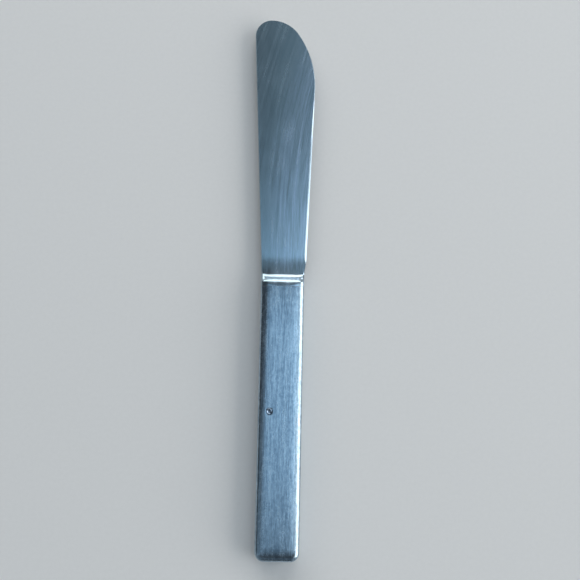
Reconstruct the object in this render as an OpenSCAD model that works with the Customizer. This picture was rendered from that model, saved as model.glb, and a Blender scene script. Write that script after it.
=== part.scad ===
// Butter knife with a hollow handle: a forged blade whose bolster and tang close
// a handle that is brazed up from two pressed half shells.
// It lies flat: +Y points to the blade's tip, +X to its edge, +Z up from the table.

/* [Overall] */
// Length of the knife, from butt to tip
overall_l = 170; // [150:1:200]

/* [Handle] */
// Length of the hollow handle, from the butt to its mouth
handle_l = 82.6; // [70:0.1:95]
// Width of the handle
handle_w = 13.3; // [11:0.1:16]
// Thickness of the handle
handle_t = 7; // [5.2:0.1:9]
// Radius of the handle's long edges
handle_edge_r = 2; // [1.5:0.1:2.5]
// Radius of the butt's corners, seen from above
butt_corner_r = 2.7; // [2.6:0.1:5]
// Wall of the pressed shells
shell_wall = 0.8; // [0.5:0.05:1.1]
// Thickness of the brazing metal in the joints
braze_t = 0.1; // [0.05:0.01:0.2]

/* [Vent] */
// Diameter of the vent hole
vent_d = 2; // [1.2:0.1:3]
// Place of the vent along the handle, as a share of its length from the butt
vent_share = 0.536; // [0.3:0.002:0.7]
// Place of the vent across the handle, as a share of its width from the middle line to the spine's side
vent_off_share = 0.24; // [0:0.01:0.25]
// Depth of the plug's face below the handle's face
plug_sink = 0.15; // [0:0.05:0.3]
// Depth of the dish in the plug
plug_dish = 0.25; // [0.1:0.05:0.35]
// Play round the plug
plug_play = 0.02; // [0.01:0.01:0.05]

/* [Bolster and tang] */
// Length of the bolster's flat, between the joint and the rise
bolster_land = 0.3; // [0.3:0.1:4]
// Length of the curved rise from the blade's face to the handle's face
rise_run = 9.2; // [5:0.1:12]
// Radius of the rise's crest, next to the handle
crest_r = 2.85; // [1.5:0.05:3]
// Radius of the rise's foot, next to the blade
foot_r = 2.8; // [1.5:0.05:3.2]
// Steepest slope of the rise
rise_turn = 48; // [35:1:55]
// Slope at which the foot runs out on to the blade
run_out_turn = 12; // [3:0.5:16]
// Distance from the joint to the heel, where the edge side swings out from the handle's width
heel_set = 3.2; // [1:0.1:5]
// Length of the heel
heel_run = 5.1; // [2:0.1:6]
// Depth of the spigot in the mouth of the handle
spigot_l = 4; // [2:0.1:8]
// Play round the spigot
spigot_play = 0.05; // [0.02:0.01:0.1]
// Length of the tang behind the spigot
tang_l = 42; // [20:1:50]
// Width of the tang at the spigot
tang_w = 7; // [5:0.1:8]
// Width of the tang at its end
tang_end_w = 4.5; // [3:0.1:6]
// Thickness of the tang
tang_t = 2; // [1:0.1:2.4]
// Radius of the notches that key the tang into the filler
notch_r = 0.9; // [0.5:0.1:1.2]
// Distance between the notches
notch_pitch = 11; // [8:0.5:16]
// Gap left by the filler as it sets
filler_gap = 0.05; // [0.02:0.01:0.1]

/* [Blade] */
// Width of the blade, from the spine's corner at the tip to the belly
blade_w = 19.6; // [18.6:0.1:22]
// Thickness of the spine at the heel
heel_spine_t = 1.6; // [1.2:0.1:2.4]
// Thickness of the spine at the tip
tip_spine_t = 1.1; // [0.8:0.1:1.6]
// Thickness next to the edge at the heel
heel_edge_t = 0.9; // [0.8:0.1:2]
// Thickness next to the edge at the tip
tip_edge_t = 0.5; // [0.5:0.1:1.2]
// Width over which the blade's edges are rounded
blade_edge_r = 0.7; // [0.2:0.05:0.8]
// Thickness left at the blunt edge
edge_land = 0.24; // [0.1:0.02:0.4]
// Radius of the spine's corner at the tip
tip_r = 5.3; // [4:0.1:6.5]
// Radius of the nose, from the tip towards the belly
nose_r = 10.6; // [8:0.1:12]
// Angle through which the nose turns
nose_turn = 55; // [48:1:58]
// Lean of the spine away from the handle's line
spine_lean = 2.8; // [0:0.1:5]
// Lean of the straight edge between heel and belly
edge_lean = 1.9; // [0:0.1:4]

/* [Hidden] */
$fn = 48;

// Overrun of every cut past the face that it leaves by
overrun = 1;
// Depth to which the spigot is rooted in the bolster, and the tang in the spigot
root_overlap = 0.3;
// Place of the first notch on the tang, and of the section change along the rise
first_notch_share = 0.25;
section_change_share = 0.45;
// Share of a section's half width that its rounded side may take up
rim_reach_share = 0.9;
// Angle at which the tip's last section stands
tip_cap_turn = 2;

// Counts of sections along the blade and of points across it
rise_steps = 6;
blade_steps = 8;
belly_steps = 12;
nose_steps = 12;
side_steps = 5;
face_steps = 4;
notch_count = 3;

// Places along the knife, measured from the butt, and of the vent across it
bolster_y = handle_l + braze_t;
rise_y = bolster_y + bolster_land;
blade_y = rise_y + rise_run;
heel_y = bolster_y + heel_set;
section_y = rise_y + section_change_share * rise_run;
spigot_y = bolster_y - spigot_l;
vent_y = vent_share * handle_l;
vent_x = -vent_off_share * handle_w;

// The rise is three arcs: where the crest and the foot end along it, and what is left to fall there
crest_end = crest_r * sin(rise_turn);
foot_end = crest_end + foot_r * (sin(rise_turn) - sin(run_out_turn));
run_out_r = (rise_run - foot_end) / sin(run_out_turn);
run_out_drop = run_out_r * (1 - cos(run_out_turn));
foot_drop = run_out_drop + foot_r * (cos(run_out_turn) - cos(rise_turn));
rise_drop = foot_drop + crest_r * (1 - cos(rise_turn));

// Outline of the blade: the spine, its corner at the tip, the nose, the belly and the edge
tip_cy = overall_l - tip_r;
spine_top_y = tip_cy - tip_r * sin(spine_lean);
spine_top_x = -handle_w / 2 - (spine_top_y - heel_y) * tan(spine_lean);
tip_cx = spine_top_x + tip_r * cos(spine_lean);
nose_cy = overall_l - nose_r;
nose_end_y = nose_cy + nose_r * cos(nose_turn);
belly_r = (blade_w - tip_r - nose_r * sin(nose_turn)) / (1 - sin(nose_turn));
belly_cx = tip_cx + (nose_r - belly_r) * sin(nose_turn);
belly_cy = nose_cy + (nose_r - belly_r) * cos(nose_turn);
belly_end_y = belly_cy - belly_r * sin(edge_lean);
belly_end_x = belly_cx + belly_r * cos(edge_lean);

// Middle of the knife's outline, which is set on the origin
mid_x = ((tip_cx - tip_r) + (belly_cx + belly_r)) / 2;
mid_y = overall_l / 2;

function mix(a, b, share) = a + (b - a) * share;
function soft_step(share) = let (s = max(0, min(1, share))) s * s * (3 - 2 * s);
function circle_reach(r, offset) = sqrt(max(0, r * r - offset * offset));

// Spine side: straight in line with the handle, then leaning out, then round the corner
function spine_line_x(y) = -handle_w / 2 - max(0, y - heel_y) * tan(spine_lean);
function spine_x(y) = y > spine_top_y ? tip_cx - circle_reach(tip_r, y - tip_cy) : spine_line_x(y);
function spine_facing(y) = y > spine_top_y ? (tip_cx - spine_x(y)) / tip_r : cos(spine_lean);

// Edge side: in line with the handle, out round the heel, along the edge, round belly and nose
function straight_edge_x(y) = belly_end_x - (belly_end_y - y) * tan(edge_lean);
function edge_x(y) =
    y > nose_end_y ? tip_cx + circle_reach(nose_r, y - nose_cy)
    : y > belly_end_y ? belly_cx + circle_reach(belly_r, y - belly_cy)
    : mix(handle_w / 2, straight_edge_x(y), soft_step((y - heel_y) / heel_run));
function edge_facing(y) =
    y > nose_end_y ? (edge_x(y) - tip_cx) / nose_r
    : y > belly_end_y ? (edge_x(y) - belly_cx) / belly_r
    : cos(edge_lean);

// Share of the handle's height at a place along the rise: 1 on the handle, 0 on the blade
function rise_share(y) =
    let (on = max(0, min(rise_run, y - rise_y)),
         left = on < crest_end ? rise_drop - crest_r + circle_reach(crest_r, on)
             : on < foot_end ? run_out_drop + foot_r * cos(run_out_turn)
                               - circle_reach(foot_r, foot_end + foot_r * sin(run_out_turn) - on)
             : run_out_r - circle_reach(run_out_r, rise_run - on))
    left / rise_drop;

// Height of the handle's section over the middle plane, by the distance in from its side
function handle_height(inset) =
    handle_t / 2 - handle_edge_r + circle_reach(handle_edge_r, max(0, handle_edge_r - inset));

// Height of the blade's section: thinner towards the tip and the edge, and rounded at both sides
function blade_height(y, inset, across) =
    let (along = (y - bolster_y) / (overall_l - bolster_y),
         spine_t = mix(heel_spine_t, tip_spine_t, along),
         edge_t = mix(heel_edge_t, tip_edge_t, along),
         lift = circle_reach(blade_edge_r, max(0, blade_edge_r - inset)) / blade_edge_r)
    mix(edge_land, mix(spine_t, edge_t, across * across), lift) / 2;

// A point of the forging's upper face, drawn between the blade's section and the handle's
function face_point(x, y, inset) =
    let (from_x = spine_line_x(y),
         to_x = edge_x(min(y, belly_cy)),
         across = (x - from_x) / (to_x - from_x))
    [x, mix(blade_height(y, inset, across), handle_height(inset), rise_share(y))];

// Width of a section's rounded side, square to its rim
function side_width(y, facing) =
    let (change = soft_step((y - section_y) / (blade_y - section_y)),
         reach = rim_reach_share * (edge_x(y) - spine_x(y)) / 2)
    min(mix(handle_edge_r, blade_edge_r, change), reach * facing);

// One side of a section, from its rim to its face
function side_points(rim_x, inward, facing, y) =
    let (width = side_width(y, facing))
    [for (i = [0:side_steps])
        let (inset = width * (1 - cos(90 * i / side_steps)))
        face_point(rim_x + inward * inset / facing, y, inset)];

// Upper half of one section, from the spine to the edge
function section_top(y) =
    let (spine_side = side_points(spine_x(y), 1, spine_facing(y), y),
         edge_side = side_points(edge_x(y), -1, edge_facing(y), y),
         from_x = spine_side[side_steps].x,
         to_x = edge_side[side_steps].x,
         from_inset = side_width(y, spine_facing(y)),
         to_inset = side_width(y, edge_facing(y)))
    concat(spine_side,
           [for (i = [1:face_steps - 1])
               let (share = i / face_steps,
                    in_face = (to_x - from_x) * min(share, 1 - share))
               face_point(mix(from_x, to_x, share), y, mix(from_inset, to_inset, share) + in_face)],
           [for (i = [side_steps:-1:0]) edge_side[i]]);

function section_ring(y) =
    let (top = section_top(y), last = len(top) - 1)
    concat([for (p = top) [p.x, y, p.y]],
           [for (i = [last:-1:0]) [top[i].x, y, -top[i].y]]);

// Places of the sections along the forging
function spread(low, high, steps) = [for (i = [1:steps]) mix(low, high, i / steps)];
stations = concat(
    [bolster_y, rise_y],
    spread(rise_y, rise_y + crest_end, rise_steps),
    spread(rise_y + crest_end, rise_y + foot_end, rise_steps),
    spread(rise_y + foot_end, blade_y, rise_steps),
    spread(blade_y, belly_end_y, blade_steps),
    [for (turn = spread(-edge_lean, 90 - nose_turn, belly_steps)) belly_cy + belly_r * sin(turn)],
    [for (turn = spread(nose_turn, tip_cap_turn, nose_steps)) nose_cy + nose_r * cos(turn)]);

// Solid skinned over a row of rings that have the same number of points
module skin(rings) {
    count = len(rings[0]);
    last = len(rings) - 1;
    walls = [for (i = [0:last - 1]) for (j = [0:count - 1])
        let (k = (j + 1) % count)
        each [[i * count + j, (i + 1) * count + j, (i + 1) * count + k],
              [i * count + j, (i + 1) * count + k, i * count + k]]];
    near_cap = [for (j = [0:count - 1]) j];
    far_cap = [for (j = [count - 1:-1:0]) last * count + j];
    polyhedron(points = [for (ring = rings) each ring], faces = concat(walls, [near_cap, far_cap]));
}

// Rounded section of the handle, drawn in by a wall or a play
module handle_section(inset) {
    w = handle_w - 2 * inset;
    t = handle_t - 2 * inset;
    r = handle_edge_r - inset;
    square([w - 2 * r, t], center = true);
    square([w, t - 2 * r], center = true);
    for (side = [-1, 1], face = [-1, 1])
        translate([side * (w / 2 - r), face * (t / 2 - r)]) circle(r);
}

// Length of the handle's section between two places along the knife
module handle_bar(inset, from_y, to_y) {
    translate([0, to_y, 0]) rotate([90, 0, 0])
        linear_extrude(to_y - from_y) handle_section(inset);
}

// Half section across the butt, from the line of its corners to its rounded end
module butt_profile(inset) {
    depth = butt_corner_r - inset;
    t = handle_t - 2 * inset;
    r = handle_edge_r - inset;
    translate([0, -t / 2]) square([depth - r, t]);
    translate([0, -t / 2 + r]) square([depth, t - 2 * r]);
    for (face = [-1, 1])
        translate([depth - r, face * (t / 2 - r)]) intersection() {
            circle(r);
            translate([0, -r]) square([r, 2 * r]);
        }
}

// The handle's form, drawn in by inset, from the butt to a place along the knife
module handle_form(inset, to_y) {
    span = handle_w - 2 * butt_corner_r;
    handle_bar(inset, butt_corner_r, to_y);
    translate([-span / 2, butt_corner_r, 0]) rotate([90, 0, -90]) mirror([0, 0, 1])
        linear_extrude(span) butt_profile(inset);
    for (side = [0, 1]) mirror([side, 0, 0])
        translate([span / 2, butt_corner_r, 0]) rotate([0, 0, -90])
            rotate_extrude(angle = 90) butt_profile(inset);
}

// Wall of the closed handle, before it is parted into shells
module handle_wall() {
    difference() {
        handle_form(0, handle_l);
        handle_form(shell_wall, handle_l + overrun);
    }
}

// Everything between two heights over the handle's middle plane
module height_band(from_z, to_z) {
    translate([-handle_w, -overrun, from_z])
        cube([2 * handle_w, handle_l + 2 * overrun, to_z - from_z]);
}

// Tang seen from above, grown by a gap, with its notches drawn in by the same gap
module tang_plan(gap) {
    end_y = spigot_y - tang_l;
    difference() {
        polygon([[-tang_w / 2 - gap, spigot_y + root_overlap], [-tang_end_w / 2 - gap, end_y - gap],
                 [tang_end_w / 2 + gap, end_y - gap], [tang_w / 2 + gap, spigot_y + root_overlap]]);
        for (i = [0:notch_count - 1], side = [-1, 1]) {
            share = first_notch_share + i * notch_pitch / tang_l;
            translate([side * mix(tang_w, tang_end_w, share) / 2, mix(spigot_y, end_y, share)])
                circle(notch_r - gap);
        }
    }
}

module tang(gap) {
    linear_extrude(tang_t + 2 * gap, center = true) tang_plan(gap);
}

// Sets a piece on the table, with the middle of the knife on the origin
module laid_flat() {
    translate([-mid_x, -mid_y, handle_t / 2]) children();
}

module blade() {
    color("lightsteelblue") laid_flat() {
        skin([for (y = stations) section_ring(y)]);
        handle_bar(shell_wall + spigot_play, spigot_y, bolster_y + root_overlap);
        tang(0);
    }
}

module handle_front_shell() {
    color("lightslategray") laid_flat() difference() {
        intersection() {
            handle_wall();
            height_band(braze_t / 2, handle_t);
        }
        translate([vent_x, vent_y, 0]) cylinder(d = vent_d, h = handle_t);
    }
}

module handle_back_shell() {
    color("slategray") laid_flat() intersection() {
        handle_wall();
        height_band(-handle_t, -braze_t / 2);
    }
}

module shell_seam_braze() {
    color("silver") laid_flat() intersection() {
        handle_wall();
        height_band(-braze_t / 2, braze_t / 2);
    }
}

module bolster_braze() {
    color("silver") laid_flat() difference() {
        handle_bar(0, handle_l, bolster_y);
        handle_bar(shell_wall, handle_l - overrun, bolster_y + overrun);
    }
}

module handle_filler() {
    color("gainsboro") laid_flat() difference() {
        handle_form(shell_wall + filler_gap, spigot_y - filler_gap);
        tang(filler_gap);
    }
}

module vent_plug() {
    plug_r = vent_d / 2 - plug_play;
    plug_top = handle_t / 2 - plug_sink;
    plug_foot = handle_t / 2 - shell_wall;
    dish_r = (plug_r * plug_r + plug_dish * plug_dish) / (2 * plug_dish);
    color("silver") laid_flat() translate([vent_x, vent_y, 0]) difference() {
        translate([0, 0, plug_foot]) cylinder(r = plug_r, h = plug_top - plug_foot);
        translate([0, 0, plug_top - plug_dish + dish_r]) sphere(dish_r);
    }
}

blade();
handle_front_shell();
handle_back_shell();
shell_seam_braze();
bolster_braze();
handle_filler();
vent_plug();
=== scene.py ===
import math

import bmesh
import bpy
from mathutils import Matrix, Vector


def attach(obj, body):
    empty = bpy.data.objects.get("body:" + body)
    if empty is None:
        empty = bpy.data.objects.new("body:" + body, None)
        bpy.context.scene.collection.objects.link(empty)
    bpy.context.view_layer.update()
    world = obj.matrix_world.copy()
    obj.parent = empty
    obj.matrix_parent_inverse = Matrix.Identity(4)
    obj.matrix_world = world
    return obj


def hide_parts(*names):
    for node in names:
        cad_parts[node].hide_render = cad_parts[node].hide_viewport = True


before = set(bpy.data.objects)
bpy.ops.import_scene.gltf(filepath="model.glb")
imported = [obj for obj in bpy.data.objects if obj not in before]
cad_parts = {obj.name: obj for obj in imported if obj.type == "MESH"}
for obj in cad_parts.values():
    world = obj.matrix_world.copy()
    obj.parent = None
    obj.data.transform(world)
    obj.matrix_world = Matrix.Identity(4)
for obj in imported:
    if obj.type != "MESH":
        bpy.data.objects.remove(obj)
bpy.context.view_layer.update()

# Sizes of the knife in millimetres, as in the part's source
overall_l = 170
handle_l = 82.6
handle_w = 13.3
handle_t = 7
handle_edge_r = 2
butt_corner_r = 2.7
shell_wall = 0.8
braze_t = 0.1
vent_d = 2
vent_share = 0.536
vent_off_share = 0.24
plug_sink = 0.15
plug_dish = 0.25
plug_play = 0.02
bolster_land = 0.3
rise_run = 9.2
heel_set = 3.2
heel_run = 5.1
spigot_l = 4
spigot_play = 0.05
tang_l = 42
tang_w = 7
tang_end_w = 4.5
tang_t = 2
notch_r = 0.9
notch_pitch = 11
blade_w = 19.6
heel_spine_t = 1.6
tip_spine_t = 1.1
heel_edge_t = 0.9
tip_edge_t = 0.5
blade_edge_r = 0.7
edge_land = 0.24
tip_r = 5.3
nose_r = 10.6
nose_turn = math.radians(55)
spine_lean = math.radians(2.8)
edge_lean = math.radians(1.9)
first_notch_share = 0.25
section_change_share = 0.45
notch_count = 3

# Finer forms of the handle: crowned faces, a butt that falls away and a softened mouth
crown_turn = math.radians(4)
crown_power = 4
edge_run = 2.5
edge_drop = 1.5
droop_turn = math.radians(4)
droop_y = 3.7
butt_power = 2.6
mouth_turn = math.radians(2)
mouth_run = 14

# Finer forms of the rise: its arcs, how crest and edge rounding blend, and what changes beside the rims
shoulder_r = 4.85
shoulder_turn = math.radians(18)
crest_r = 2.65
rise_turn = math.radians(50)
foot_r = 2.75
run_out_turn = math.radians(12)
run_out_r = 24
feather_turn = math.radians(2.5)
feather_r = 40
crest_power = 2.5
slope_spread = 1.8
rounded_level = 0.5
rise_edge_r = 0.55
broaden_level = 0.1
broaden_rate = 6
beside_w = 4.6
gentle_run = 1.25
crest_bend = 1
foot_bend = 1.8
foot_level = 0.25

# Finer forms of the blade and the tang: roundings of the rims, where they change, and the metal buffed away
heel_edge_r = 0.08
fine_edge_r = 0.18
bevel_power = 1.3
soften_y = 89
soften_run = 4
fine_y = 126
fine_run = 20
side_run = 1
buffed = 0.025
tang_corner_r = 0.15

# Finer forms of the vent, its plug and the joint at the bolster
vent_lip = 0.14
lip_in_share = 0.4
lip_down_share = 0.15
vent_frame = 1.25
plug_shoulder = 0.3
plug_groove = 0.3
plug_lean = math.radians(11)
braze_sink = 0.02

# Counts and steps of the meshes
round_steps = 6
beyond_steps = 10
rim_steps = round_steps + beyond_steps
face_steps = 28
rise_steps = 24
blade_steps = 48
belly_steps = 48
nose_steps = 40
notch_steps = 10
corner_steps = 14
plug_steps = 40
dish_steps = 8
seam_steps = 3
shell_step = 0.9
vent_step = 0.32
slope_step = 0.01
point_digits = 4
sharp_turn = math.radians(35)
quarter_turn = math.pi / 2
millimetre = 0.001

# Finishes: range of most noise, the fan of the blade's lines, where they show, and patches of scratches
noise_low = 0.3
noise_middle = 0.5
noise_high = 0.7
fan_start = 12
fan_bend = 0.0026
streak_from_x = -6
streak_to_x = 1
faint_streaks = 0.15
patch_scale = 0.45
patch_low = 0.5
patch_high = 0.62

# Places along the knife, measured from the butt, and of the vent across it
bolster_y = handle_l + braze_t
rise_y = bolster_y + bolster_land
blade_y = rise_y + rise_run
heel_y = bolster_y + heel_set
section_y = rise_y + section_change_share * rise_run
spigot_y = bolster_y - spigot_l
tang_end_y = spigot_y - tang_l
mouth_y = handle_l - mouth_run
vent_y = vent_share * handle_l
vent_x = -vent_off_share * handle_w

# Outline of the blade: the spine, its corner at the tip, the nose, the belly and the edge
tip_cy = overall_l - tip_r
spine_top_y = tip_cy - tip_r * math.sin(spine_lean)
spine_top_x = -handle_w / 2 - (spine_top_y - heel_y) * math.tan(spine_lean)
tip_cx = spine_top_x + tip_r * math.cos(spine_lean)
nose_cy = overall_l - nose_r
nose_end_y = nose_cy + nose_r * math.cos(nose_turn)
belly_r = (blade_w - tip_r - nose_r * math.sin(nose_turn)) / (1 - math.sin(nose_turn))
belly_cx = tip_cx + (nose_r - belly_r) * math.sin(nose_turn)
belly_cy = nose_cy + (nose_r - belly_r) * math.cos(nose_turn)
belly_end_y = belly_cy - belly_r * math.sin(edge_lean)
belly_end_x = belly_cx + belly_r * math.cos(edge_lean)
mid_x = ((tip_cx - tip_r) + (belly_cx + belly_r)) / 2
mid_y = overall_l / 2

# Crown of the handle's faces: where it meets the rounded edges, and how far it has fallen there
last_turn = math.atan2(edge_drop, edge_run * math.tan(crown_turn))
crown_inset = edge_run * (1 - math.cos(last_turn))
crown_x = handle_w / 2 - crown_inset
crown_fall = math.tan(crown_turn) * crown_x / crown_power
droop_fall = math.tan(droop_turn) / (2 * (droop_y - crown_inset))
crown_z = handle_t / 2 - crown_fall
side_z = crown_z - edge_drop * math.sin(last_turn)
corner_x = handle_w / 2 - butt_corner_r

# Rise from the handle's face down to the blade's: arcs, each with its radius and the slope that it ends at
rise_arcs = (
    (shoulder_r, shoulder_turn),
    (crest_r, rise_turn),
    (foot_r, run_out_turn),
    (run_out_r, feather_turn),
    (feather_r, 0),
)


def mix(a, b, share):
    return a + (b - a) * share


def soft_step(share):
    s = min(1, max(0, share))
    return s * s * (3 - 2 * s)


def circle_reach(r, offset):
    return math.sqrt(max(0, r * r - offset * offset))


def spaced(stops, step):
    """Places from the first stop to the last, all the stops among them, about a step apart."""
    places = [stops[0]]
    for low, high in zip(stops, stops[1:]):
        count = max(1, round((high - low) / step))
        places += [mix(low, high, (i + 1) / count) for i in range(count)]
    return places


class PieceSkin:
    """Faces of one piece over shared points, in millimetres from the butt and the knife's middle plane."""

    def __init__(self):
        self.points = {}
        self.faces = []

    def corner(self, point):
        key = tuple(round(value, point_digits) for value in point)
        return self.points.setdefault(key, len(self.points))

    def face(self, *points):
        loop = list(dict.fromkeys(self.corner(point) for point in points))
        if len(loop) > 2:
            self.faces.append(loop)

    def strip(self, low, high):
        for a, b, c, d in zip(low, low[1:], high[1:], high):
            self.face(a, b, c, d)

    def grid(self, rows):
        for low, high in zip(rows, rows[1:]):
            self.strip(low, high)

    def tube(self, rings):
        self.grid([ring + ring[:1] for ring in rings])


def on_table(point):
    """A point of the knife as it lies on the table, in metres from the middle of its outline."""
    return Vector((point[0] - mid_x, point[1] - mid_y, point[2] + handle_t / 2)) * millimetre


def make_piece(name, skin, node):
    """Turns a skin into a piece that stands for a node of the part."""
    mesh = bpy.data.meshes.new(name)
    mesh.from_pydata([on_table(point) for point in skin.points], [], skin.faces)
    shape = bmesh.new()
    shape.from_mesh(mesh)
    bmesh.ops.recalc_face_normals(shape, faces=shape.faces)
    shape.to_mesh(mesh)
    shape.free()
    mesh.shade_smooth()
    mesh.set_sharp_from_angle(angle=sharp_turn)
    piece = bpy.data.objects.new(name, mesh)
    bpy.context.scene.collection.objects.link(piece)
    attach(piece, "root")
    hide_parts(node)
    return piece


# Blade, bolster, spigot and tang, forged in one
def spine_line_x(y):
    """Line of the spine: straight with the handle, then leaning out."""
    return -handle_w / 2 - max(0, y - heel_y) * math.tan(spine_lean)


def spine_x(y):
    """Spine side: along the spine's line, then round the corner."""
    if y > spine_top_y:
        return tip_cx - circle_reach(tip_r, y - tip_cy)
    return spine_line_x(y)


def edge_x(y):
    """Edge side: in line with the handle, out round the heel, along the edge, then round belly and nose."""
    if y > nose_end_y:
        return tip_cx + circle_reach(nose_r, y - nose_cy)
    if y > belly_end_y:
        return belly_cx + circle_reach(belly_r, y - belly_cy)
    straight_x = belly_end_x - (belly_end_y - y) * math.tan(edge_lean)
    return mix(handle_w / 2, straight_x, soft_step((y - heel_y) / heel_run))


def rise_fall(on):
    """How far the rise has fallen at a distance along it."""
    fall = 0
    turn = mouth_turn
    for r, end_turn in rise_arcs:
        bend = r if end_turn > turn else -r
        run = bend * (math.sin(end_turn) - math.sin(turn))
        reached = math.asin(math.sin(turn) + min(on, run) / bend)
        fall += bend * (math.cos(turn) - math.cos(reached))
        on = max(0, on - run)
        turn = end_turn
    return fall


def rise_share(y):
    """Share of the handle's height at one place along the rise: 1 on the handle, 0 on the blade."""
    return 1 - rise_fall(max(0, y - bolster_y)) / rise_fall(overall_l)


def rise_places():
    """Places along the rise, closest where it bends most."""
    places = [bolster_y]
    turn = mouth_turn
    for r, end_turn in rise_arcs:
        step = r * abs(math.sin(end_turn) - math.sin(turn)) / rise_steps
        places += [places[-1] + step * i for i in range(1, rise_steps + 1)]
        turn = end_turn
    return places


def section_change(y):
    """How far the section has changed from the bolster's to the blade's."""
    return soft_step((y - section_y) / (blade_y - section_y))


def slope_of(outline, y):
    return (outline(y + slope_step) - outline(y - slope_step)) / (2 * slope_step)


def rims_at(y):
    """The spine's and the edge's rim at one place along the forging, each with its way into the steel."""
    change = section_change(y)
    spine_in = Vector((1, -slope_of(spine_x, y) * change)).normalized()
    edge_in = Vector((-1, slope_of(edge_x, y) * change)).normalized()
    spine_rim = Vector((spine_x(y), y)) + spine_in * buffed * change
    edge_rim = Vector((edge_x(y), y)) + edge_in * buffed * change
    return spine_rim, spine_in, edge_rim, edge_in


def mouth_fall(y):
    """How far the handle's faces fall away towards the mouth, and on over the joint."""
    bent = max(0, min(y, handle_l) - mouth_y)
    straight = max(0, min(y, bolster_y) - handle_l)
    return math.tan(mouth_turn) * (bent * bent / (2 * mouth_run) + straight)


def handle_height(x, y, inset):
    """Height of the handle's section over the middle plane: its rounded edge, then its crowned face."""
    if inset < crown_inset:
        side = side_z + edge_drop * circle_reach(1, 1 - inset / edge_run)
        return side * (1 - mouth_fall(y) / crown_z)
    return crown_z + crown_fall * (1 - (x / crown_x) ** crown_power) - mouth_fall(y)


def blade_thickness(x, y):
    """Thickness of the blade, which falls towards the tip and, ever faster, towards the edge."""
    along = (y - bolster_y) / (overall_l - bolster_y)
    spine_line = spine_line_x(y)
    across = (x - spine_line) / (edge_x(min(y, belly_cy)) - spine_line)
    spine_t = mix(heel_spine_t, tip_spine_t, along)
    edge_t = mix(heel_edge_t, tip_edge_t, along)
    return mix(spine_t, edge_t, across * across)


def rim_round(y, on_edge):
    """Width of the rounding along a rim.

    The spine's is fine. The edge's is finest at the heel, broad along the straight and fine at the tip.
    Both change to the rise's own width on the way up to the bolster.
    """
    blade_round = fine_edge_r
    if on_edge:
        past_heel = soft_step((y - soften_y) / soften_run)
        to_tip = soft_step((y - fine_y) / fine_run)
        blade_round = mix(heel_edge_r, mix(blade_edge_r, fine_edge_r, to_tip), past_heel)
    return mix(blade_round, rise_edge_r, soft_step(broaden_rate * (rise_share(y) - broaden_level)))


def rim_insets(round_w, run):
    """Distances in from a rim: over its rounding, then over the rest of the side."""
    rounding = [round_w * (1 - math.cos(quarter_turn * i / round_steps)) for i in range(round_steps)]
    return rounding + [mix(round_w, run, i / beyond_steps) for i in range(beyond_steps + 1)]


def blade_height(place, inset, round_w):
    """Height of the blade's section over the middle plane, from its edge land up to its face."""
    lift = 1 - max(0, 1 - inset / round_w) ** bevel_power
    return mix(edge_land, blade_thickness(place.x, place.y), lift) / 2


def rise_level(y, inset):
    """Share of the handle's height at one place on the rise.

    Beside the rims the rise is gentler, with its crest set on towards the blade and its foot drawn back.
    """
    beside = max(0, 1 - inset / beside_w) ** 2
    spread = gentle_run * beside

    def gentle(place_y):
        return (rise_share(place_y - spread) + rise_share(place_y + spread)) / 2

    level = gentle(y)
    drawn_back = foot_bend * beside * (1 - level) * soft_step(level / foot_level)
    set_on = crest_bend * beside * level
    return gentle(y + drawn_back - set_on)


def closed_section(top):
    """A whole section from its upper half, which runs from the spine's side to the edge's."""
    return top + [(x, y, -z) for x, y, z in reversed(top)]


def forged_section(spine_rim, spine_in, edge_rim, edge_in):
    """One section of the forging, between the blade's section and the handle's."""
    rim_run = mix(crown_inset, side_run, section_change(spine_rim.y))
    width = (edge_rim - spine_rim).length
    spine_round = rim_round(spine_rim.y, False)
    edge_round = rim_round(edge_rim.y, True)

    def point(place, inset, round_w):
        """A point of the upper half, where the fall to the blade blends with the handle's rounded edge."""
        level = rise_level(place.y, inset)
        top_z = handle_t / 2 - mouth_fall(place.y)
        fall = (1 - level) * (top_z - blade_height(place, inset, round_w))
        drawn_out = inset * (1 - slope_spread * level * (1 - level))
        rounding = soft_step(level / rounded_level) * max(0, top_z - handle_height(*place, drawn_out))
        blended = (fall ** crest_power + rounding ** crest_power) ** (1 / crest_power)
        return place.x, place.y, top_z - blended

    spine_insets = rim_insets(spine_round, rim_run)
    edge_insets = rim_insets(edge_round, rim_run)
    spine_side = [point(spine_rim + spine_in * inset, inset, spine_round) for inset in spine_insets]
    edge_side = [point(edge_rim + edge_in * inset, inset, edge_round) for inset in edge_insets]
    spine_face = spine_rim + spine_in * rim_run
    edge_face = edge_rim + edge_in * rim_run
    face = []
    for i in range(1, face_steps):
        share = i / face_steps
        inset = rim_run + width * min(share, 1 - share)
        face.append(point(spine_face.lerp(edge_face, share), inset, spine_round))
    return closed_section(spine_side + face + edge_side[::-1])


def bar_section(y, half_w, half_t, corner_r):
    """Rounded section with as many points as the forging's other sections."""
    side = []
    for i in range(rim_steps + 1):
        turn = quarter_turn * i / rim_steps
        side.append((half_w - corner_r * (1 - math.cos(turn)), half_t - corner_r * (1 - math.sin(turn))))
    flat_w = side[-1][0]
    face = [(mix(-flat_w, flat_w, i / face_steps), half_t) for i in range(1, face_steps)]
    top = [(-x, z) for x, z in side] + face + side[::-1]
    return closed_section([(x, y, z) for x, z in top])


def tang_half_w(y, notch_ys):
    half_w = mix(tang_w, tang_end_w, (spigot_y - y) / tang_l) / 2
    return half_w - max(circle_reach(notch_r, y - notch_y) for notch_y in notch_ys)


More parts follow.
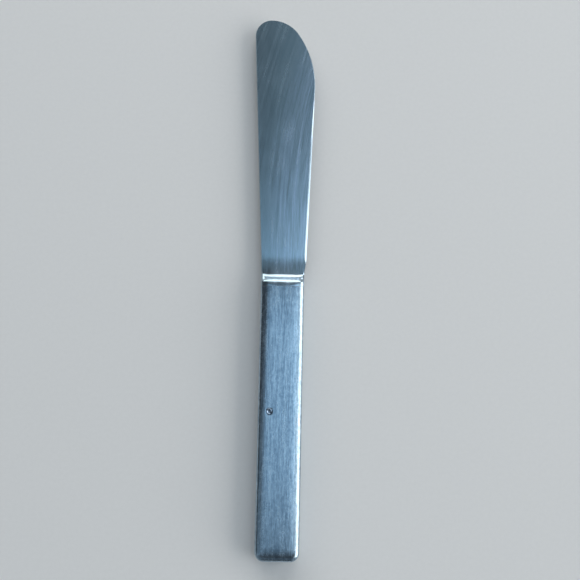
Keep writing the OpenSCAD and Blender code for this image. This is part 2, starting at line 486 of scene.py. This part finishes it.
def tang_sections():
    """Sections of the notched tang, from its end to the spigot."""
    notch_ys = [mix(spigot_y, tang_end_y, first_notch_share) - i * notch_pitch for i in range(notch_count)]
    places = [tang_end_y, spigot_y]
    for notch_y in notch_ys:
        places += [notch_y - notch_r * math.cos(math.pi * i / notch_steps) for i in range(notch_steps + 1)]
    return [bar_section(y, tang_half_w(y, notch_ys), tang_t / 2, tang_corner_r) for y in sorted(places)]


def spigot_sections():
    inset = shell_wall + spigot_play
    size = handle_w / 2 - inset, handle_t / 2 - inset, handle_edge_r - inset
    return [bar_section(y, *size) for y in (spigot_y, bolster_y)]


def blade_sections():
    """Sections from the bolster's joint over the rise and along the blade to its tip."""
    ys = rise_places()
    ys += [mix(blade_y, belly_end_y, i / blade_steps) for i in range(1, blade_steps + 1)]
    turns = [mix(-edge_lean, quarter_turn - nose_turn, i / belly_steps) for i in range(1, belly_steps + 1)]
    ys += [belly_cy + belly_r * math.sin(turn) for turn in turns]
    sections = [forged_section(*rims_at(y)) for y in ys]
    tip_centre = Vector((tip_cx, tip_cy))
    nose_centre = Vector((tip_cx, nose_cy))
    tip_start = math.asin((nose_end_y - tip_cy) / tip_r)
    for i in range(1, nose_steps + 1):
        tip_turn = mix(tip_start, quarter_turn, i / nose_steps)
        edge_turn = mix(nose_turn, 0, i / nose_steps)
        spine_in = Vector((math.cos(tip_turn), -math.sin(tip_turn)))
        edge_in = Vector((-math.sin(edge_turn), -math.cos(edge_turn)))
        spine_rim = tip_centre - spine_in * (tip_r - buffed)
        edge_rim = nose_centre - edge_in * (nose_r - buffed)
        sections.append(forged_section(spine_rim, spine_in, edge_rim, edge_in))
    return sections


def forge_blade():
    skin = PieceSkin()
    sections = tang_sections() + spigot_sections() + blade_sections()
    skin.tube(sections)
    skin.face(*sections[0])
    return make_piece("blade_forging", skin, "blade")


# Half shells of the handle
def face_height(x, y):
    """Height of the handle's crowned face over the middle plane, with its falls to butt and mouth."""
    return handle_height(x, y, crown_inset) - droop_fall * max(0, droop_y - y) ** 2


def cavity_height(x, y):
    """Height of the hollow's flat roof, the same all over."""
    return handle_t / 2 - shell_wall


def side_profile(inset, side_top, run, drop, full_turn):
    """Rounded side of a shell, from the seam up to the face: pairs of distance in and height."""
    seam = [(inset, mix(braze_t / 2, side_top, i / seam_steps)) for i in range(seam_steps)]
    turns = [full_turn * i / rim_steps for i in range(rim_steps + 1)]
    return seam + [(inset + run * (1 - math.cos(t)), side_top + drop * math.sin(t)) for t in turns]


def shell_outline(ys, xs):
    """Places round a shell from mouth to butt and back, each with its way out to the side."""
    left = [((-corner_x, y), (-1, 0)) for y in reversed(ys)]
    butt = [((x, butt_corner_r), (0, -1)) for x in xs]
    right = [((corner_x, y), (1, 0)) for y in ys]
    turns = [quarter_turn * i / corner_steps for i in range(1, corner_steps)]
    left_turn = [((-corner_x, butt_corner_r), (-math.cos(t), -math.sin(t))) for t in turns]
    right_turn = [((corner_x, butt_corner_r), (math.sin(t), -math.cos(t))) for t in turns]
    return left + left_turn + butt + right_turn + right


def side_column(place, profile, height):
    """Points up the side of a shell at one place of its outline, rounded more fully at the butt."""
    (x, y), (out_x, out_y) = place
    low_z = profile[0][1]
    high_z = profile[-1][1]
    crown_reach = butt_corner_r - crown_inset
    column = []
    for inset, z in profile:
        reach = butt_corner_r - inset
        share = (z - low_z) / (high_z - low_z)
        if z > side_z and height is face_height:
            fuller = (1 - max(0, 1 - inset / crown_inset) ** butt_power) ** (1 / butt_power)
            share = mix(share, mix((side_z - low_z) / (high_z - low_z), 1, fuller), out_y * out_y)
        top_z = height(x + out_x * crown_reach, y + out_y * reach)
        column.append((x + out_x * reach, y + out_y * reach, mix(low_z, top_z, share)))
    return column


def vent_rings(xs, ys, height, steps):
    """Rings round the vent, from the square that frames it in to its lip."""
    low_x, high_x = -crown_x, vent_x + vent_frame
    low_y, high_y = vent_y - vent_frame, vent_y + vent_frame
    frame_xs = [x for x in xs if low_x < x < high_x]
    frame_ys = [y for y in ys if low_y < y < high_y]
    square = [(low_x, low_y)] + [(x, low_y) for x in frame_xs]
    square += [(high_x, low_y)] + [(high_x, y) for y in frame_ys]
    square += [(high_x, high_y)] + [(x, high_y) for x in reversed(frame_xs)]
    square += [(low_x, high_y)] + [(low_x, y) for y in reversed(frame_ys)]
    rings = [[(x, y, height(x, y)) for x, y in square]]
    for r, depth in steps:
        ring = []
        for x, y in square:
            way = Vector((x - vent_x, y - vent_y)).normalized()
            place = (vent_x + way.x * r, vent_y + way.y * r)
            ring.append((*place, height(*place) - depth))
        rings.append(ring)
    return rings


def shell_face(skin, xs, ys, profile, height, vent_steps):
    """Lays one face of a half shell, and returns the three borders where it meets the other face."""
    butt_xs = [x for x in xs if -corner_x <= x <= corner_x]
    outline = shell_outline(ys, butt_xs)
    columns = [side_column(place, profile, height) for place in outline]
    skin.grid(columns)
    for low, high in zip(ys, ys[1:]):
        for a, b in zip(xs, xs[1:]):
            beside_vent = (a + b) / 2 < vent_x + vent_frame
            if vent_steps and beside_vent and abs((low + high) / 2 - vent_y) < vent_frame:
                continue
            skin.face(*[(x, y, height(x, y)) for x, y in ((a, low), (b, low), (b, high), (a, high))])
    rows = [[(x, y, height(x, y)) for x in butt_xs] for y in (crown_inset, butt_corner_r)]
    skin.grid(rows)
    left_start = len(ys) - 1
    right_start = left_start + corner_steps + len(butt_xs) - 1
    for side, first in ((-1, left_start), (1, right_start)):
        centre = (side * corner_x, butt_corner_r, height(side * corner_x, butt_corner_r))
        arc = [column[-1] for column in columns[first:first + corner_steps + 1]]
        for a, b in zip(arc, arc[1:]):
            skin.face(centre, a, b)
    mouth = columns[0] + [(x, handle_l, height(x, handle_l)) for x in xs[1:-1]] + columns[-1][::-1]
    seam = [column[0] for column in columns]
    vent = []
    if vent_steps:
        rings = vent_rings(xs, ys, height, vent_steps)
        skin.tube(rings)
        vent = rings[-1]
    return seam, mouth, vent


def press_shell(name, side, node):
    """One half shell: side 1 is the vented front, side -1 the plain back."""
    vent_stops_x = [vent_x + vent_frame] if side > 0 else []
    xs = [-crown_x] + spaced(sorted([-corner_x, 0, corner_x] + vent_stops_x), vent_step) + [crown_x]
    ys = spaced([butt_corner_r, droop_y, vent_y - vent_frame], shell_step)
    ys += spaced([vent_y - vent_frame, vent_y + vent_frame], vent_step)[1:]
    ys += spaced([vent_y + vent_frame, mouth_y, handle_l], shell_step)[1:]
    outer = side_profile(0, side_z, edge_run, edge_drop, last_turn)
    inner_r = crown_inset - shell_wall
    inner = side_profile(shell_wall, handle_t / 2 - shell_wall - inner_r, inner_r, inner_r, quarter_turn)
    vent_r = vent_d / 2
    lip_bend = (vent_r + vent_lip * lip_in_share, vent_lip * lip_down_share)
    lip = [(vent_r + vent_lip, 0), lip_bend, (vent_r, vent_lip)]
    skin = PieceSkin()
    outer_borders = shell_face(skin, xs, ys, outer, face_height, lip if side > 0 else [])
    inner_borders = shell_face(skin, xs, ys, inner, cavity_height, [(vent_r, 0)] if side > 0 else [])
    for outside, inside in zip(outer_borders[:2], inner_borders[:2]):
        skin.strip(outside, inside)
    if side > 0:
        skin.tube([outer_borders[2], inner_borders[2]])
    skin.points = {(x, y, z * side): index for (x, y, z), index in skin.points.items()}
    return make_piece(name, skin, node)


def braze_bolster():
    """Thin ring of brazing metal between the shells' mouth and the bolster, a little below their faces."""
    outer_size = 1 - braze_sink / (handle_w / 2), 1 - braze_sink / (handle_t / 2)
    full = forged_section(*rims_at(bolster_y))
    inner = bar_section(0, handle_w / 2 - shell_wall, handle_t / 2 - shell_wall, handle_edge_r - shell_wall)
    rings = []
    for y in (handle_l, bolster_y):
        rings.append([(x * outer_size[0], y, z * outer_size[1]) for x, _, z in full])
    for y in (bolster_y, handle_l):
        rings.append([(x, y, z) for x, _, z in inner])
    skin = PieceSkin()
    skin.tube(rings + rings[:1])
    return make_piece("bolster_braze_ring", skin, "bolster_braze")


def set_plug():
    """Plug in the vent: a shoulder rounds down to a groove at its rim, and a dish is struck into its face.

    It leans slightly, apart from its foot.
    """
    plug_r = vent_d / 2 - plug_play
    top_z = handle_t / 2 - plug_sink
    dish_r = plug_r - plug_shoulder
    profile = [(plug_r, top_z - plug_groove)]
    for i in range(1, dish_steps + 1):
        turn = quarter_turn * i / dish_steps
        r = dish_r + plug_shoulder * math.cos(turn)
        profile.append((r, top_z - plug_groove * (1 - math.sin(turn))))
    for i in range(1, dish_steps):
        share = i / dish_steps
        profile.append((dish_r * (1 - share), top_z - plug_dish * share * (2 - share)))
    ways = [(math.cos(t), math.sin(t)) for t in (2 * math.pi * i / plug_steps for i in range(plug_steps))]
    foot_z = handle_t / 2 - shell_wall
    rings = [[(vent_x + plug_r * x, vent_y + plug_r * y, foot_z) for x, y in ways]]
    for r, z in profile:
        rings.append([(vent_x + r * x, vent_y + r * y, z + r * y * math.tan(plug_lean)) for x, y in ways])
    skin = PieceSkin()
    skin.tube(rings)
    skin.face(*rings[0])
    skin.face(*rings[-1])
    return make_piece("struck_plug", skin, "vent_plug")


# Finishes
def add_node(tree, kind, **settings):
    node = tree.nodes.new(kind)
    for name, value in settings.items():
        setattr(node, name, value)
    return node


def math_node(tree, operation, first, second=0):
    """One step of arithmetic over the surface; each side is a socket or a plain number."""
    node = add_node(tree, "ShaderNodeMath", operation=operation)
    for socket, value in zip(node.inputs, (first, second)):
        if isinstance(value, (int, float)):
            socket.default_value = value
        else:
            tree.links.new(value, socket)
    return node.outputs[0]


def weighted(tree, value, weight):
    return math_node(tree, "MULTIPLY", value, weight)


def total(tree, first, *others):
    """Values over the surface, added up."""
    for other in others:
        first = math_node(tree, "ADD", first, other)
    return first


def scored(tree, surface, cuts, share):
    """A surface with cuts in it, as deep as a share of its own relief."""
    return math_node(tree, "SUBTRACT", surface, weighted(tree, cuts, share))


def range_node(tree, value, over, to):
    """A value that runs over one range, taken to another."""
    node = add_node(tree, "ShaderNodeMapRange")
    tree.links.new(value, node.inputs["Value"])
    for name, number in zip(("From Min", "From Max", "To Min", "To Max"), (*over, *to)):
        node.inputs[name].default_value = number
    return node.outputs["Result"]


def spread_noise(tree, noise, low, high):
    """A noise taken to a range of its own."""
    return range_node(tree, noise, over=(noise_low, noise_high), to=(low, high))


def stretched_noise(tree, place, across, along, detail):
    """Noise with one scale across X and Z and another along Y."""
    scale = add_node(tree, "ShaderNodeCombineXYZ")
    for axis, socket in (("X", across), ("Y", along), ("Z", across)):
        tree.links.new(socket, scale.inputs[axis])
    drawn = add_node(tree, "ShaderNodeVectorMath", operation="MULTIPLY")
    tree.links.new(place, drawn.inputs[0])
    tree.links.new(scale.outputs[0], drawn.inputs[1])
    noise = add_node(tree, "ShaderNodeTexNoise")
    noise.inputs["Scale"].default_value = 1
    noise.inputs["Detail"].default_value = detail
    tree.links.new(drawn.outputs[0], noise.inputs["Vector"])
    return noise


def new_group(name, inputs, output):
    """An empty effect with named sockets: its tree, its entry and its exit."""
    tree = bpy.data.node_groups.new(name, "ShaderNodeTree")
    for label, value in inputs.items():
        kind = "NodeSocketFloat" if value is not None else "NodeSocketVector"
        socket = tree.interface.new_socket(name=label, in_out="INPUT", socket_type=kind)
        if value is not None:
            socket.default_value = value
    tree.interface.new_socket(name=output, in_out="OUTPUT", socket_type="NodeSocketFloat")
    return tree, add_node(tree, "NodeGroupInput"), add_node(tree, "NodeGroupOutput")


def grain_group():
    """Long fine lines left by a belt or a wheel, across X and along Y, as a value about 0.5."""
    tree, entry, leave = new_group("Grinding grain", {"Place": None, "Across": 5.0, "Along": 0.1}, "Grain")
    place, across, along = (entry.outputs[label] for label in ("Place", "Across", "Along"))
    lines = stretched_noise(tree, place, across, along, detail=4)
    lines.inputs["Roughness"].default_value = 0.65
    tree.links.new(lines.outputs["Fac"], leave.inputs["Grain"])
    return tree


def scratch_group():
    """Thin straight scratches in one direction, in patches, as a mask."""
    inputs = {"Place": None, "Turn": 0.0, "Across": 2.0, "Along": 0.2, "Width": 0.02}
    tree, entry, leave = new_group("Fine scratches", inputs, "Scratches")
    turned = add_node(tree, "ShaderNodeVectorRotate", rotation_type="Z_AXIS")
    tree.links.new(entry.outputs["Place"], turned.inputs["Vector"])
    tree.links.new(entry.outputs["Turn"], turned.inputs["Angle"])
    place = turned.outputs[0]
    field = stretched_noise(tree, place, entry.outputs["Across"], entry.outputs["Along"], detail=0)
    off_line = math_node(tree, "ABSOLUTE", math_node(tree, "SUBTRACT", field.outputs["Fac"], noise_middle))
    share = math_node(tree, "DIVIDE", off_line, entry.outputs["Width"])
    lines = range_node(tree, share, over=(0, 1), to=(1, 0))
    patches = add_node(tree, "ShaderNodeTexNoise")
    patches.inputs["Scale"].default_value = patch_scale
    patches.inputs["Detail"].default_value = 1
    tree.links.new(place, patches.inputs["Vector"])
    worn = range_node(tree, patches.outputs["Fac"], over=(patch_low, patch_high), to=(0, 1))
    tree.links.new(math_node(tree, "MULTIPLY", lines, worn), leave.inputs["Scratches"])
    return tree


def mottle_group():
    """Cloudy marks of handling and polishing, as a value about 0.5."""
    tree, entry, leave = new_group("Handling marks", {"Place": None, "Size": 3.0, "Stretch": 1.0}, "Marks")
    across = math_node(tree, "DIVIDE", 1.0, entry.outputs["Size"])
    along = math_node(tree, "DIVIDE", across, entry.outputs["Stretch"])
    cloud = stretched_noise(tree, entry.outputs["Place"], across, along, detail=3)
    tree.links.new(cloud.outputs["Fac"], leave.inputs["Marks"])
    return tree


grain = grain_group()
scratches = scratch_group()
mottle = mottle_group()


def place_group(tree, group, place, **values):
    """Sets an effect into a material with its own values, and returns what it puts out."""
    node = add_node(tree, "ShaderNodeGroup", node_tree=group)
    tree.links.new(place, node.inputs["Place"])
    for label, value in values.items():
        node.inputs[label].default_value = value
    return node.outputs[0]


def knife_place(tree):
    """Place on the knife in millimetres."""
    coordinates = add_node(tree, "ShaderNodeTexCoord")
    scaled = add_node(tree, "ShaderNodeVectorMath", operation="SCALE")
    scaled.inputs["Scale"].default_value = 1 / millimetre
    tree.links.new(coordinates.outputs["Object"], scaled.inputs[0])
    return scaled.outputs[0]


def new_finish(name, metallic):
    """An empty material and its shader."""
    material = bpy.data.materials.new(name)
    material.use_nodes = True
    shader = material.node_tree.nodes["Principled BSDF"]
    shader.inputs["Metallic"].default_value = metallic
    return material, material.node_tree, shader


def tint(tree, shader, value, dark, light):
    """Base colour between two shades, by a value from 0 to 1."""
    shades = add_node(tree, "ShaderNodeMix", data_type="RGBA")
    tree.links.new(value, shades.inputs["Factor"])
    shades.inputs["A"].default_value = (*dark, 1)
    shades.inputs["B"].default_value = (*light, 1)
    tree.links.new(shades.outputs["Result"], shader.inputs["Base Color"])


def relief(tree, shader, height, depth):
    """Bump of a depth in millimetres."""
    bump = add_node(tree, "ShaderNodeBump")
    bump.inputs["Strength"].default_value = 1
    bump.inputs["Distance"].default_value = depth * millimetre
    tree.links.new(height, bump.inputs["Height"])
    tree.links.new(bump.outputs["Normal"], shader.inputs["Normal"])


def fanned_place(tree, place):
    """Place on the blade, with its lengthwise lines bent over towards the belly as they go up."""
    parts = add_node(tree, "ShaderNodeSeparateXYZ")
    tree.links.new(place, parts.inputs[0])
    past_start = math_node(tree, "SUBTRACT", parts.outputs["Y"], blade_y + fan_start - mid_y)
    up = math_node(tree, "MAXIMUM", past_start, 0)
    lean = weighted(tree, math_node(tree, "MULTIPLY", up, up), fan_bend)
    bent = add_node(tree, "ShaderNodeCombineXYZ")
    tree.links.new(math_node(tree, "SUBTRACT", parts.outputs["X"], lean), bent.inputs["X"])
    tree.links.new(parts.outputs["Y"], bent.inputs["Y"])
    tree.links.new(parts.outputs["Z"], bent.inputs["Z"])
    return bent.outputs[0]


def blade_finish():
    """Satin steel with grinding lines that show more towards the edge, its colour tinted blue as a painted
    reflection of sky light.
    """
    material, tree, shader = new_finish("blade_satin_steel", metallic=1)
    place = knife_place(tree)
    fanned = fanned_place(tree, place)
    fine = place_group(tree, grain, fanned, Across=2.6, Along=0.1)
    broad = place_group(tree, grain, fanned, Across=1.0, Along=0.04)
    marks = place_group(tree, mottle, place, Size=5.0, Stretch=2.0)
    cuts = place_group(tree, scratches, fanned, Turn=0.15, Across=1.6, Along=0.03, Width=0.012)
    fan = add_node(tree, "ShaderNodeSeparateXYZ")
    tree.links.new(fanned, fan.inputs[0])
    streaked = range_node(tree, fan.outputs["X"], over=(streak_from_x, streak_to_x), to=(faint_streaks, 1))
    lines = total(tree, weighted(tree, fine, 0.5), weighted(tree, broad, 0.5))
    ground = range_node(tree, lines, over=(0.38, 0.62), to=(0, 0.8))
    streaks = total(tree, ground, weighted(tree, cuts, 0.1))
    tone = math_node(tree, "MULTIPLY", streaks, streaked)
    # Both shades are bluer than the steel's own cool grey: that blue is a painted reflection of sky light.
    tint(tree, shader, tone, dark=(0.33, 0.43, 0.48), light=(0.53, 0.64, 0.78))
    rough = total(tree, spread_noise(tree, broad, 0.18, 0.28), spread_noise(tree, marks, -0.03, 0.03))
    tree.links.new(rough, shader.inputs["Roughness"])
    worn = math_node(tree, "MULTIPLY", cuts, streaked)
    relief(tree, shader, scored(tree, fine, worn, share=0.08), depth=0.006)
    return material


def handle_finish():
    """Steel brushed lengthwise, with marks and scratches of use in two directions, its colour tinted blue
    as a painted reflection of sky light.
    """
    material, tree, shader = new_finish("handle_satin_steel", metallic=1)
    place = knife_place(tree)
    fine = place_group(tree, grain, place, Across=2.8, Along=0.2)
    broad = place_group(tree, grain, place, Across=1.1, Along=0.06)
    marks = place_group(tree, mottle, place, Size=0.7, Stretch=1.8)
    cuts = place_group(tree, scratches, place, Turn=0.5, Across=2.2, Along=0.04, Width=0.018)
    other_cuts = place_group(tree, scratches, place, Turn=-0.8, Across=1.8, Along=0.04, Width=0.015)
    worn = math_node(tree, "MAXIMUM", cuts, other_cuts)
    lines = total(tree, weighted(tree, fine, 0.45), weighted(tree, broad, 0.3), weighted(tree, marks, 0.25))
    brushed = range_node(tree, lines, over=(0.42, 0.58), to=(0, 0.85))
    tone = total(tree, brushed, weighted(tree, worn, 0.3))
    # Both shades are bluer than the steel's own cool grey: that blue is a painted reflection of sky light.
    tint(tree, shader, tone, dark=(0.25, 0.34, 0.42), light=(0.56, 0.68, 0.77))
    rough = total(tree, spread_noise(tree, broad, 0.23, 0.28), spread_noise(tree, marks, -0.02, 0.02))
    tree.links.new(rough, shader.inputs["Roughness"])
    relief(tree, shader, scored(tree, fine, worn, share=0.3), depth=0.006)
    return material


def braze_finish():
    """Dull brazing metal, ground flush."""
    material, tree, shader = new_finish("brazing_metal", metallic=1)
    place = knife_place(tree)
    marks = place_group(tree, mottle, place, Size=0.6, Stretch=1.0)
    fine = place_group(tree, grain, place, Across=8.0, Along=1.0)
    tint(tree, shader, spread_noise(tree, marks, 0, 1), dark=(0.2, 0.22, 0.23), light=(0.34, 0.36, 0.37))
    tree.links.new(spread_noise(tree, fine, 0.4, 0.6), shader.inputs["Roughness"])
    relief(tree, shader, marks, depth=0.01)
    return material


def plug_finish():
    """Struck steel with a few scratches, its colour darkened and tinted blue as painted shade in the vent
    and a painted reflection of sky light.
    """
    material, tree, shader = new_finish("plug_steel", metallic=1)
    place = knife_place(tree)
    marks = place_group(tree, mottle, place, Size=0.3, Stretch=1.0)
    cuts = place_group(tree, scratches, place, Turn=0.9, Across=4.0, Along=0.8, Width=0.03)
    # Both shades are darker and bluer than the steel's own: painted shade of the recessed plug and a
    # painted reflection of blue sky. The mottle between them is random tone.
    tint(tree, shader, spread_noise(tree, marks, 0, 1), dark=(0.16, 0.22, 0.32), light=(0.5, 0.62, 0.75))
    tree.links.new(spread_noise(tree, marks, 0.18, 0.3), shader.inputs["Roughness"])
    relief(tree, shader, scored(tree, marks, cuts, share=0.3), depth=0.01)
    return material


def cement_finish():
    """Matt cement with a fine grit."""
    material, tree, shader = new_finish("set_cement", metallic=0)
    place = knife_place(tree)
    grit = place_group(tree, mottle, place, Size=0.25, Stretch=1.0)
    clouds = place_group(tree, mottle, place, Size=4.0, Stretch=1.0)
    tint(tree, shader, spread_noise(tree, clouds, 0, 1), dark=(0.42, 0.38, 0.33), light=(0.6, 0.56, 0.5))
    tree.links.new(spread_noise(tree, grit, 0.75, 0.95), shader.inputs["Roughness"])
    relief(tree, shader, grit, depth=0.05)
    return material


def dress(piece, material):
    piece.data.materials.clear()
    piece.data.materials.append(material)


braze_metal = braze_finish()
shell_steel = handle_finish()
dress(forge_blade(), blade_finish())
dress(press_shell("front_shell", 1, "handle_front_shell"), shell_steel)
dress(press_shell("back_shell", -1, "handle_back_shell"), shell_steel)
dress(braze_bolster(), braze_metal)
dress(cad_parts["shell_seam_braze"], braze_metal)
dress(set_plug(), plug_finish())
dress(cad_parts["handle_filler"], cement_finish())


# Floor, light and camera
def lay_floor():
    reach = 4
    corners = [(-reach, -reach, 0), (reach, -reach, 0), (reach, reach, 0), (-reach, reach, 0)]
    mesh = bpy.data.meshes.new("floor")
    mesh.from_pydata(corners, [], [(0, 1, 2, 3)])
    floor = bpy.data.objects.new("floor", mesh)
    bpy.context.scene.collection.objects.link(floor)
    material, tree, shader = new_finish("floor_paper", metallic=0)
    place = knife_place(tree)
    fibres = place_group(tree, mottle, place, Size=1.2, Stretch=1.0)
    tint(tree, shader, fibres, dark=(0.74, 0.73, 0.71), light=(0.78, 0.77, 0.75))
    shader.inputs["Roughness"].default_value = 0.9
    dress(floor, material)


def hang_lamp(name, place, target, size, radiance, colour):
    """A soft panel of light that the camera doesn't see, with the brightness of its own face."""
    lamp = bpy.data.lights.new(name, "AREA")
    lamp.shape = "RECTANGLE"
    lamp.size, lamp.size_y = size
    lamp.energy = radiance * math.pi * size[0] * size[1]
    lamp.color = colour
    panel = bpy.data.objects.new(name, lamp)
    panel.location = place
    panel.rotation_euler = (Vector(target) - Vector(place)).to_track_quat("-Z", "Y").to_euler()
    panel.visible_camera = False
    bpy.context.scene.collection.objects.link(panel)


def light_room():
    world = bpy.data.worlds.new("room")
    world.use_nodes = True
    background = world.node_tree.nodes["Background"]
    background.inputs["Color"].default_value = (0.75, 0.85, 1, 1)
    background.inputs["Strength"].default_value = 0.06
    bpy.context.scene.world = world
    hang_lamp("overhead_panel", place=(0.08, 0.055, 2), target=(0.08, 0.055, 0),
              size=(0.86, 0.75), radiance=0.92, colour=(0.51, 0.76, 1))
    hang_lamp("upper_left_panel", place=(-0.73, -0.3, 2), target=(-0.73, -0.3, 0),
              size=(0.74, 0.8), radiance=0.38, colour=(0.55, 0.78, 1))
    hang_lamp("far_overhead_panel", place=(0.5, 1, 2), target=(0.5, 1, 0),
              size=(1.1, 1.1), radiance=0.31, colour=(0.6, 0.83, 1))
    hang_lamp("left_panel", place=(-1.3, -0.5, 1.25), target=(0, 0, 0),
              size=(1, 1.1), radiance=0.22, colour=(0.6, 0.82, 1))
    hang_lamp("upper_right_panel", place=(0.9, 0.055, 1.73), target=(0, 0, 0),
              size=(0.9, 1.3), radiance=1.3, colour=(0.7, 0.87, 1))
    hang_lamp("right_panel", place=(1.85, 0, 0.77), target=(0, 0, 0),
              size=(2.8, 1.6), radiance=2.6, colour=(1, 1, 1))
    hang_lamp("far_panel", place=(-0.5, 1.79, 0.9), target=(-0.5, 0, 0),
              size=(3.4, 1.34), radiance=2.6, colour=(1, 1, 1))
    hang_lamp("near_panel", place=(0, -1.5, 1.05), target=(0, 0, 0),
              size=(2.4, 1), radiance=0.1, colour=(0.6, 0.82, 1))
    hang_lamp("near_right_panel", place=(1.35, -1.35, 0.65), target=(0, 0, 0),
              size=(2, 0.9), radiance=0.3, colour=(0.8, 0.92, 1))
    hang_lamp("near_left_panel", place=(-1.35, -1.35, 0.65), target=(0, 0, 0),
              size=(2, 0.9), radiance=0.18, colour=(0.7, 0.87, 1))


def set_camera():
    lens = bpy.data.cameras.new("camera")
    lens.sensor_width = 36
    lens.lens = 57.1
    camera = bpy.data.objects.new("camera", lens)
    camera.location = (0.00383, -0.04242, 0.2872)
    look_at = Vector((0.00302, -0.00303, 0.003))
    camera.rotation_euler = (look_at - camera.location).to_track_quat("-Z", "Y").to_euler()
    bpy.context.scene.collection.objects.link(camera)
    bpy.context.scene.camera = camera


lay_floor()
light_room()
set_camera()
bpy.context.scene.view_settings.view_transform = "Standard"
